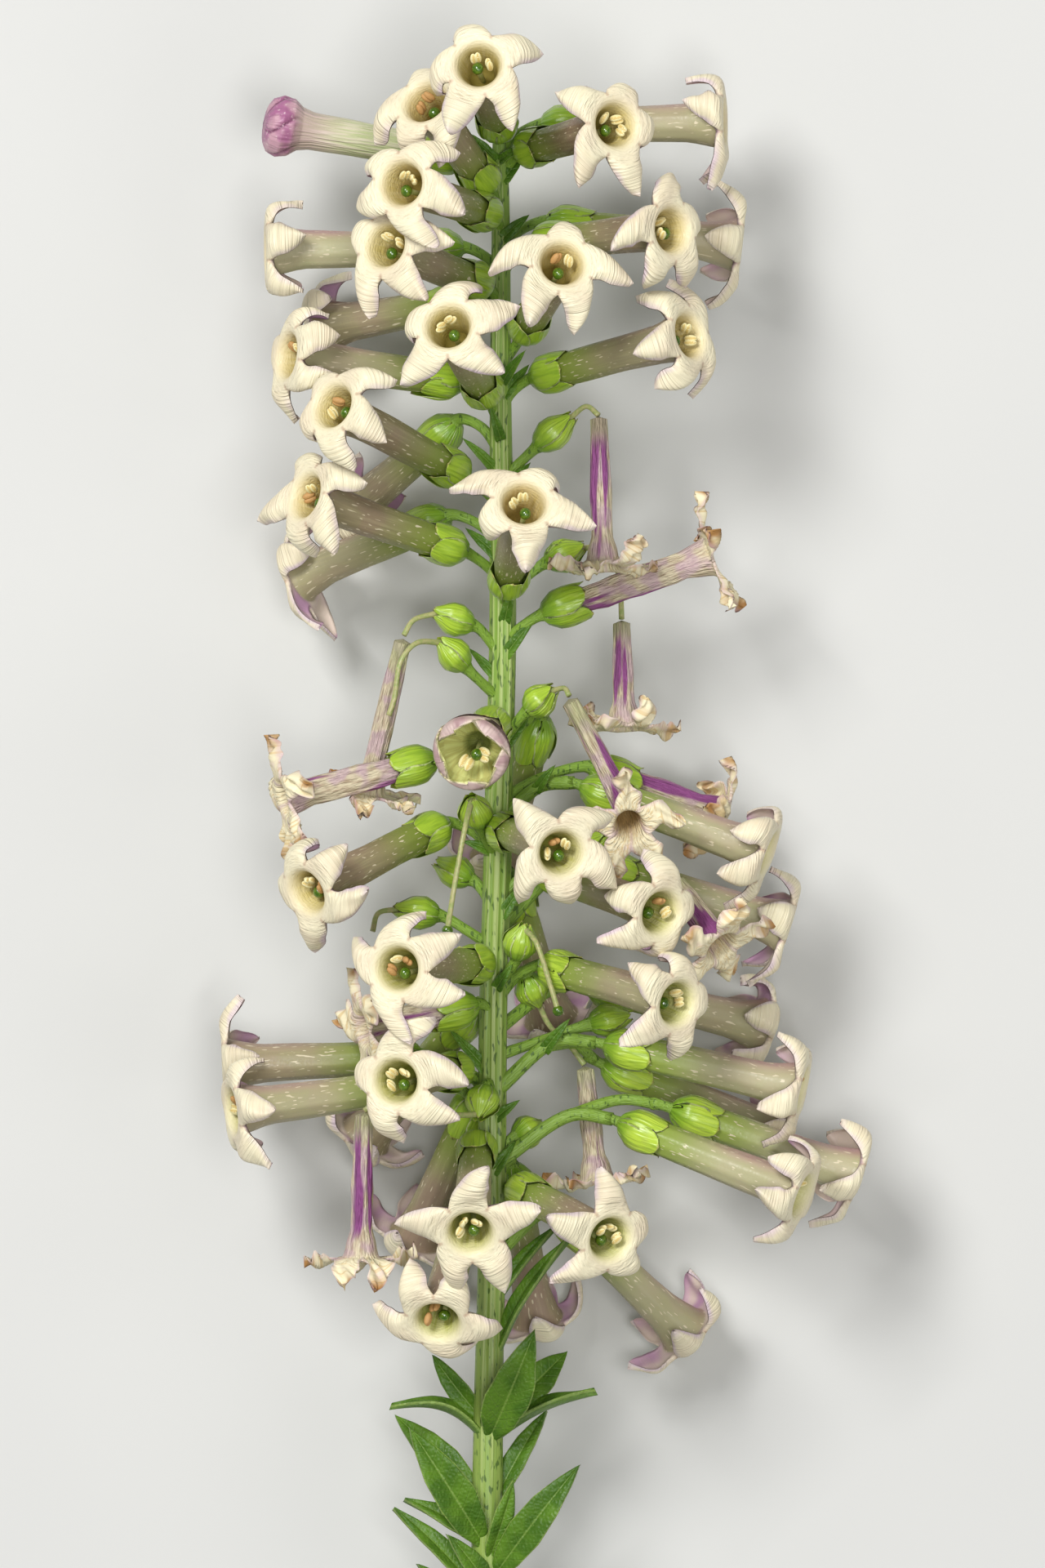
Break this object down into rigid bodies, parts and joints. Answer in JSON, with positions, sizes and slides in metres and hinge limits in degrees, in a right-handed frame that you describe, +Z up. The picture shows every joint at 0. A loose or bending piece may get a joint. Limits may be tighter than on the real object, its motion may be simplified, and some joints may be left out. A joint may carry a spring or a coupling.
{
  "type": "flower spike",
  "caption": "Cut spike of honey bells lying on its back: cream trumpet flowers with five lobes round a green leafy stem, some withered and some in bud.",
  "frame": {"origin": "centre of the spike's outline seen from above, on the table under its lowest flowers", "axes": "+Y up the stem towards the youngest part of the spike, +Z up from the table, out of the face of the spike, +X to the right of the spike seen from above"},
  "size_m": [0.0484, 0.1212, 0.0305],
  "materials": {
    "green": "satin",
    "petal": "satin",
    "withered": "matte",
    "bud": "satin"
  },
  "bodies": {
    "root": {"flowering_stem": "green", "flower_01": "petal", "flower_02": "petal", "flower_03": "petal", "flower_04": "petal", "flower_05": "petal", "flower_06": "petal", "flower_07": "petal", "flower_08": "petal", "flower_09": "petal", "flower_10": "petal", "flower_11": "petal", "flower_12": "petal", "flower_13": "petal", "flower_14": "petal", "flower_15": "petal", "flower_16": "petal", "flower_17": "petal", "flower_18": "petal", "flower_19": "petal", "flower_20": "petal", "flower_21": "petal", "flower_22": "petal", "flower_23": "petal", "flower_24": "petal", "flower_25": "petal", "flower_26": "petal", "flower_27": "petal", "flower_28": "petal", "flower_29": "petal", "flower_30": "petal", "flower_31": "petal", "flower_32": "petal", "flower_33": "petal", "flower_34": "petal", "flower_35": "petal", "flower_36": "petal", "flower_37": "petal", "flower_38": "petal", "flower_39": "petal", "flower_40": "petal", "flower_41": "petal", "flower_42": "petal", "flower_43": "petal", "withered_flower_01": "withered", "withered_flower_02": "withered", "withered_flower_03": "withered", "withered_flower_04": "withered", "withered_flower_05": "withered", "withered_flower_06": "withered", "withered_flower_07": "withered", "withered_flower_08": "withered", "withered_flower_09": "withered", "withered_flower_10": "withered", "withered_flower_11": "withered", "closed_bud": "bud", "opening_bud": "petal"}
  },
  "joints": []
}
